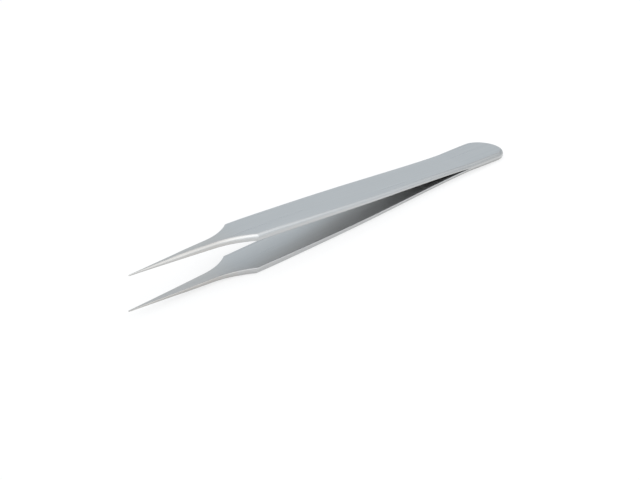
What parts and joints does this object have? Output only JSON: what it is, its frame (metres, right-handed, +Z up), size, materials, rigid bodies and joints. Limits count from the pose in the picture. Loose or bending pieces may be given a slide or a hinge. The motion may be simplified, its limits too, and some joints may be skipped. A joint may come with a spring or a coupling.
{
  "type": "straight tweezers",
  "caption": "Straight precision tweezers with shouldered, tapered points and a welded butt, for picking up small parts by hand.",
  "frame": {"origin": "under the middle of the tweezers, on the surface that they lie on", "axes": "+X along the length from the tips to the butt, +Y across the arms, +Z up from the lower arm to the upper arm"},
  "size_m": [0.1106, 0.0094, 0.0088],
  "materials": {
    "steel": "satin stainless steel, finely brushed"
  },
  "bodies": {
    "root": {"upper_arm": "steel", "lower_arm": "steel"}
  },
  "joints": []
}
